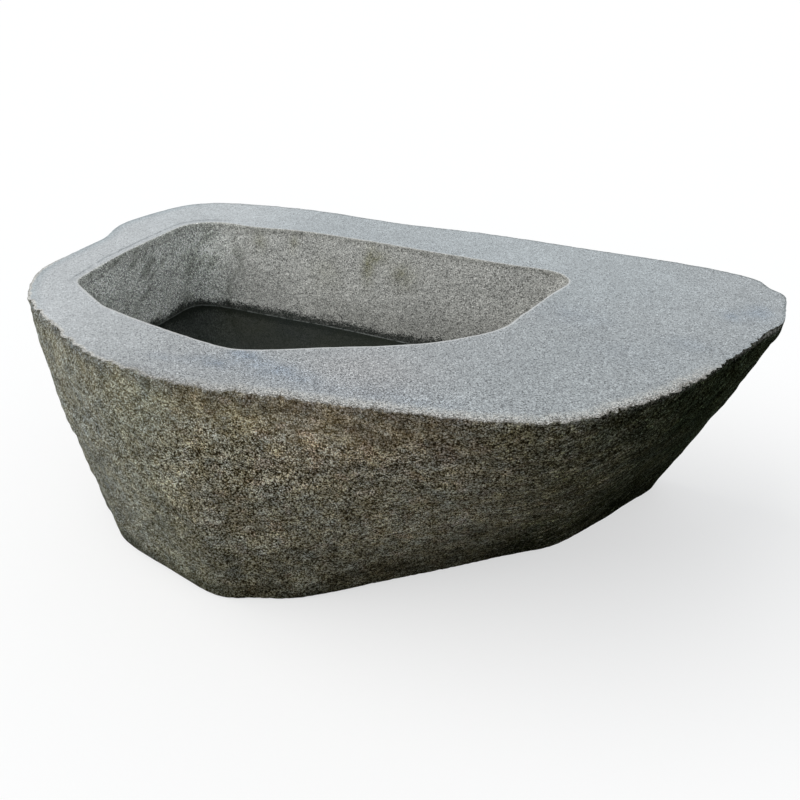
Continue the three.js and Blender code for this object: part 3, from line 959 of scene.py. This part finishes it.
def split_granite():
    """The outer wall: a rough face with a brown patina, grey-green to the left, with painted shade
    below and at the right end.
    """
    f = Finish("split_granite")
    along, edge_gap = f.coordinate("X"), f.value("edge_gap")
    pale, fair = f.value("pale"), f.value("fair")
    crystal, tint, middle = f.grains(0.0042, f.ragged(0.004, 0.003))

    # The patina.
    f.colour = f.ramp(f.clouds(0.05, 4, 0.7), SPLIT_BROWNS)
    f.blend(f.times(f.value("rust"), 0.6), RUST)
    f.blend(f.times(f.share(f.clouds(0.028, 3, 0.7), 0.55, 0.95), 0.44), BLOTCH)
    f.blend(f.times(f.value("slate"), 0.38), SLATE)
    f.scale(f.span(fair, 1.0, 1.34))
    greenish = f.ramp(f.clouds(0.06, 4, 0.65), SPLIT_GREENS)
    greenish = f.tinted(f.share(along, -0.42, -0.62), greenish, COLD_TINT)
    f.blend(pale, greenish)
    # Painted light: lighter patches on the near face of the prow.
    f.scale(f.span(f.value("painted_light_patches"), 1.0, 1.32))
    drift = f.ramp(f.clouds(0.055, 3, 0.6), SPLIT_DRIFT)
    f.tint(f.span(pale, 1.0, 0.35), drift)
    rosy = f.times(f.share(f.clouds(0.045, 2), 0.6, 0.95), f.share(along, -0.38, -0.18))
    f.tint(rosy, ROSY_TINT)
    f.vary(0.84, 1.16, 0.03, 2, 0.6)
    f.vary(0.9, 1.1, 0.085, 3, 0.6)
    f.blend(f.times(f.share(tint, 0.45, 0.95), 0.3), f.span(fair, 0.315, 0.39))

    # The grain, drawn out along the split.
    flecks = f.share(f.clouds(0.011, 2, 0.7, f.drawn_out(FLECK_WAY, 3.0)), 0.58, 0.86)
    flecks = f.times(flecks, f.share(f.clouds(0.07, 2), 0.35, 0.75), pale)
    ledges = f.clouds(0.018, 3, 0.8, f.drawn_out(LEDGE_WAY, 3.5))
    steep = f.clouds(0.018, 3, 0.8, f.drawn_out(STEEP_WAY, 4.0))
    to_right = f.share(along, 0.32, 0.52)
    ledges = f.plus(ledges, f.times(f.minus(steep, ledges), to_right))
    mottle = f.clouds(0.014, 3, 0.9)
    fine = f.clouds(0.0031, 1, 1.0)
    # Crevices and pits darken the grain: partly mineral colour, partly painted shade in the small
    # hollows.
    crevice = f.share(middle, 0.3, 0.72)
    grain = f.times(f.span(ledges, 0.64, 1.36), f.span(mottle, 0.62, 1.38))
    grain = f.times(grain, f.span(fine, 0.05, 2.0), f.span(crystal, 0.3, 1.7))
    grain = f.times(grain, f.span(crevice, 1.25, 0.4))
    grain = f.maths("SMOOTH_MIN", grain, f.span(to_right, 1.72, 1.95), 0.9)
    pits = f.share(f.grains(0.0085, f.ragged(0.007, 0.005))[2], 0.26, 0.1)
    grain = f.times(grain, f.span(pits, 1.0, 0.45))
    contrast = f.times(f.span(pale, 1.0, 0.9), f.span(f.value("harsh"), 0.95, 1.5))
    grain = f.plus(f.times(f.minus(grain, 0.8), contrast), 0.8)
    grain = f.maths("MAXIMUM", f.times(grain, 1.41), 0.06)
    f.scale(grain)
    f.tint(1.0, f.ramp(f.times(grain, 0.4), SPLIT_HUES))
    f.blend(f.times(flecks, 0.7), f.scaled(FLECK, f.span(fine, 0.5, 1.5)))
    # Painted shade in the hollows of the relief and painted light on its crests.
    f.scale(f.between(f.value("relief"), -0.006, 0.006, 0.7, 1.28))

    # Painted shade low down, at the right end and tip, in patches, at the foot and in the strip under
    # the edge.
    # Painted shade low down and at the right end, partly sparing lighter crystals, ledges and mottles.
    kept = f.times(f.share(tint, 0.62, 0.95), 0.34)
    kept = f.plus(kept, f.times(f.share(ledges, 0.5, 0.95), 0.34))
    kept = f.plus(kept, f.times(f.share(mottle, 0.55, 1.0), 0.16))
    low_and_right_shade = f.times(f.value("low_and_right_shade"), f.minus(1.0, kept))
    f.tint(low_and_right_shade, LOW_AND_RIGHT_SHADE_TINT)
    # Painted shade with a green cast under the pointed end.
    f.tint(f.value("deep"), DEEP_SHADE_TINT)
    # Painted shade in patches under the edge and low down.
    f.tint(f.times(f.value("painted_shade_patches"), 0.8), PAINTED_SHADE_TINT)
    # Painted shade along the foot, where the wall meets the ground.
    foot_shade = f.minus(f.coordinate("Z"), f.between(along, 0.0, 0.25, 0.0, 0.06))
    foot_shade = f.share(f.plus(foot_shade, f.span(f.clouds(0.05, 3), -0.02, 0.02)), 0.11, 0.02)
    f.tint(f.times(foot_shade, 0.82), FOOT_SHADE_TINT)
    # Painted shade in the strip under the overhanging edge.
    gap = f.plus(edge_gap, f.span(f.clouds(0.026, 4, 0.75), -0.022, 0.022))
    shade = f.times(f.share(gap, 0.06, 0.022), f.span(f.value("brow"), 0.1, 0.62))
    f.tint(shade, BROW_SHADE_TINT)
    f.tint(f.share(edge_gap, 0.042, 0.002), FRESH_TINT)
    speckle = f.times(edge_gap, f.between(along, 0.25, 0.55, 1.0, 0.38))
    speckle = f.plus(speckle, f.span(f.clouds(0.0042, 2, 0.8), -0.0088, 0.0088))
    crumbs = f.times(f.share(speckle, 0.0018, -0.0006), f.span(tint, 0.25, 1.0))
    f.blend(f.times(crumbs, 0.8), CRUMB)
    strands = f.share(f.clouds(0.0065, 2, 0.6, f.drawn_out(STEEP_WAY, 5.0)), 0.6, 0.9)
    strands = f.times(strands, to_right, f.share(f.clouds(0.05, 2), 0.3, 0.8))
    strand = f.tinted(1.0, f.scaled(f.colour, 2.4), STRAND_TINT)
    f.blend(f.times(strands, 0.8), strand)
    flaked = f.times(f.value("flaked"), f.share(f.times(mottle, tint), 0.05, 0.55))
    f.blend(flaked, FLAKE)
    rough = f.bump(f.clouds(0.034, 3, 0.6), 0.01)
    rough = f.bump(mottle, 0.0048, rough)
    rough = f.bump(crevice, -0.0012, rough)
    return f.finish(f.span(crystal, 0.75, 0.95), rough, Specular_IOR_Level=0.0)


def worked_granite():
    """The basin: bush-hammered stone, olive stains, and a wet band with a pale waterline."""
    f = Finish("worked_granite")
    along, height = f.coordinate("X"), f.coordinate("Z")
    leftmost = f.share(along, -0.58, -0.8)
    crystal, tint, middle = f.grains(0.0024, f.ragged(0.0022, 0.0014))
    f.colour = f.ramp(crystal, WORKED_CRYSTALS)
    fine = f.minus(f.clouds(0.0031, 1, 1.0), 0.5)
    fine = f.times(fine, f.span(leftmost, 1.05, 2.2))
    f.scale(f.plus(fine, 1.0))
    f.vary(0.93, 1.06, 0.035, 3, 0.7)
    f.vary(0.88, 1.12, 0.13, 4, 0.6)
    # Painted light: the basin lighter toward its left end, most on the left wall.
    f.scale(f.between(along, 0.35, -0.75, 0.96, 1.27))
    f.tint(leftmost, LEFT_WALL_LIGHT_TINT)
    smudges = f.clouds(0.045, 3, 0.6, f.drawn_out((0.3, 0.75, 0.6), 3.0))
    smudges = f.times(f.share(smudges, 0.5, 0.9), f.share(along, -0.45, -0.75))
    f.tint(f.times(smudges, 0.85), SMUDGE_TINT)
    # Lighter patches on the basin's wall.
    f.scale(f.span(f.value("lightened_patches"), 1.0, 1.34))
    stain = f.times(f.value("stain"), f.span(f.clouds(0.012, 3), 0.5, 1.15))
    f.tint(f.times(stain, 0.8), STAIN_TINT)
    # Painted shade just under the basin's rim, wider at the left.
    brow = f.plus(f.value("lip_gap"), f.span(f.clouds(0.02, 3, 0.7), -0.01, 0.01))
    brow = f.maths("DIVIDE", brow, f.between(along, -0.75, -0.25, 1.7, 1.0))
    f.tint(f.times(f.share(brow, 0.022, 0.004), 0.5), RIM_SHADE_TINT)
    level = f.minus(height, WATER_LEVEL)
    # Darker toward the water on the right part of the wall.
    toward_water = f.times(f.share(level, 0.15, 0.03), f.share(along, -0.48, -0.3))
    f.tint(toward_water, TOWARD_WATER_TINT)
    level = f.minus(level, f.between(along, -0.12, 0.2, 0.0, 0.01))
    uneven = f.span(f.clouds(0.09, 3, 0.6), -0.008, 0.008)
    uneven = f.plus(uneven, f.span(f.clouds(0.016, 4, 0.75), -0.008, 0.008))
    uneven = f.plus(uneven, f.span(crystal, -0.01, 0.01))
    wet = f.share(f.plus(level, uneven), 0.035, 0.017)
    soaked = f.minus(1.0, f.times(f.share(tint, 0.45, 1.0), 0.2))
    f.tint(f.times(wet, soaked), WET_TINT)
    line = f.maths("ABSOLUTE", f.minus(height, WATER_LEVEL + 0.0016))
    line = f.times(f.share(line, 0.002, 0.001), f.share(f.clouds(0.02, 3), 0.1, 0.7))
    f.blend(f.times(line, 0.9), WATERLINE)
    shine = f.span(wet, 0.86, 0.5)
    hammered = f.bump(f.clouds(0.028, 3, 0.6), 0.003)
    hammered = f.bump(f.clouds(0.008, 3, 0.7), 0.0014, hammered)
    hammered = f.bump(middle, 0.0006, hammered)
    return f.finish(shine, hammered, Specular_IOR_Level=0.35)


def still_water():
    """Near-black olive water that mirrors a little."""
    f = Finish("still_water")
    murk = [(0.1, (0.011, 0.015, 0.013)), (0.9, (0.019, 0.022, 0.015))]
    f.colour = f.ramp(f.clouds(0.25, 4, 0.6), murk)
    ripple = f.bump(f.clouds(0.09, 2), 0.0002)
    return f.finish(f.span(f.clouds(0.2, 2), 0.02, 0.06), ripple, IOR=1.333)


def black_rubber():
    """Moulded rubber with a bloom of lime in patches."""
    f = Finish("bung_rubber")
    shades = [(0.1, (0.022, 0.022, 0.022)), (0.9, (0.048, 0.047, 0.045))]
    f.colour = f.ramp(f.clouds(0.018, 5, 0.6), shades)
    lime = f.share(f.clouds(0.006, 4, 0.7), 0.75, 0.95)
    f.blend(f.times(lime, 0.25), (0.2, 0.2, 0.185))
    return f.finish(f.span(f.clouds(0.01, 3), 0.52, 0.74), f.bump(f.clouds(0.0012, 2), 0.00006))


def stainless(name, size):
    """Drawn stainless steel, with fine lines and a dull film of lime in patches."""
    f = Finish(name)
    f.colour = f.ramp(f.clouds(size, 4, 0.6), [(0.1, (0.5, 0.5, 0.49)), (0.9, (0.66, 0.66, 0.65))])
    film = f.times(f.share(f.clouds(size / 2, 4, 0.7), 0.6, 0.95), 0.5)
    f.blend(film, (0.34, 0.335, 0.31))
    lines = f.clouds(0.0007, 2, 0.5, f.drawn_out((0, 0, 1), 6))
    rough = f.plus(f.span(lines, 0.2, 0.36), f.times(film, 0.4))
    return f.finish(rough, f.bump(lines, 0.00001), Metallic=1.0)


def water_piece(basin_rows, material):
    """Still water from wall to wall, level on top, and down to just above the basin's floor."""
    heights = basin_rows[..., 2].mean(1)
    surface = []
    for column in range(BASIN_COLUMNS):
        profile = basin_rows[::-1, column]
        surface.append([np.interp(WATER_LEVEL, profile[:, 2], profile[:, axis]) for axis in (0, 1)])
    surface = np.column_stack([np.array(surface), np.full(BASIN_COLUMNS, WATER_LEVEL)])
    below = basin_rows[heights < WATER_LEVEL - WATER_FIRST_DROP]
    rows = np.concatenate([surface[None], below])
    centre = np.array([DRAIN[0], DRAIN[1], 0])
    drawn_in = 1 - WATER_SIDE_GAP / np.linalg.norm((rows - centre)[..., :2], axis=-1, keepdims=True)
    rows[..., :2] = centre[:2] + (rows[..., :2] - centre[:2]) * drawn_in
    rows[1:, :, 2] += WATER_FLOOR_GAP
    shell = Shell()
    ids = shell.add(rows[:, ::WATER_STRIDE])
    shell.weave(ids, 0)
    top = shell.add(ring_about_drain(DISC_RADIUS, WATER_LEVEL, DISC_COLUMNS))
    bottom = shell.add(ring_about_drain(DISC_RADIUS, rows[-1, 0, 2], DISC_COLUMNS))
    shell.cap(ids[0], top, WATER_TOP_STEP, 0, True)
    shell.cap(ids[-1], bottom, WATER_FLOOR_STEP, 0, False)
    shell.faces += [top.tolist(), bottom.tolist()[::-1]]
    shell.finishes += [0, 0]
    mesh = shell.mesh("water", [material])
    mesh.set_sharp_from_angle(angle=math.radians(WATER_CREASE))
    return new_object("water", mesh)


def dress(node, material):
    """Gives a solid that is shown as it is its material."""
    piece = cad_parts[node]
    piece.data.materials.clear()
    piece.data.materials.append(material)
    for face in piece.data.polygons:
        face.use_smooth = True


def floor():
    """A plain pale floor: white to the camera and to reflections, and darker to other light."""
    corners = [(FLOOR_HALF * x, FLOOR_HALF * y, 0) for x, y in ((-1, -1), (1, -1), (1, 1), (-1, 1))]
    mesh = bpy.data.meshes.new("floor")
    mesh.from_pydata(corners, [], [(0, 1, 2, 3)])
    f = Finish("floor_paint")
    seen = directly_seen(f.tree)
    f.colour = f.mix(seen, FLOOR_LIT, FLOOR_SEEN)
    f.finish(0.9, Specular_IOR_Level=0.0)
    f.put(f.shader.inputs["Emission Color"], (1.0, 1.0, 1.0))
    f.put(f.shader.inputs["Emission Strength"], f.times(seen, FLOOR_GLOW))
    mesh.materials.append(f.material)
    piece = new_object("floor", mesh)
    piece.location.z = -FLOOR_DROP


def lights():
    """A pale sky, dimmer for all but what is seen directly, and one wide soft lamp."""
    world = bpy.data.worlds.new("sky")
    bpy.context.scene.world = world
    world.use_nodes = True
    tree = world.node_tree
    background = tree.nodes["Background"]
    put(tree, background.inputs["Color"], SKY_COLOUR)
    strength = maths(tree, "MULTIPLY", directly_seen(tree), 1 - SKY)
    put(tree, background.inputs["Strength"], maths(tree, "ADD", strength, SKY))
    lamp = bpy.data.lights.new("soft_lamp", "SUN")
    lamp.energy = LAMP
    lamp.angle = math.radians(LAMP_WIDTH)
    lamp.color = LAMP_COLOUR
    piece = new_object("soft_lamp", lamp)
    piece.rotation_euler = Vector(LAMP_WAY).to_track_quat("-Z", "Y").to_euler()


def camera():
    """The camera, placed where the photo was taken from."""
    data = bpy.data.cameras.new("camera")
    data.sensor_width = CAMERA_SENSOR
    data.lens = CAMERA_LENS
    piece = new_object("camera", data)
    piece.location = CAMERA_PLACE
    piece.rotation_euler = (math.radians(CAMERA_TILT), 0, math.radians(CAMERA_TURN))
    bpy.context.scene.camera = piece


bpy.context.scene.view_settings.view_transform = "Standard"
camera()
lights()
floor()

boulder, basin_rows = stone([split_granite(), honed_granite(), worked_granite()])
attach(boulder, "stone")
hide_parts("trough_body")

water = water_piece(basin_rows, still_water())
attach(water, "stone")
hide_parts("standing_water")
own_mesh(water)

dress("drain_bung", black_rubber())
dress("bung_eye", stainless("eye_steel", 0.012))
dress("pull_ring", stainless("ring_steel", 0.016))
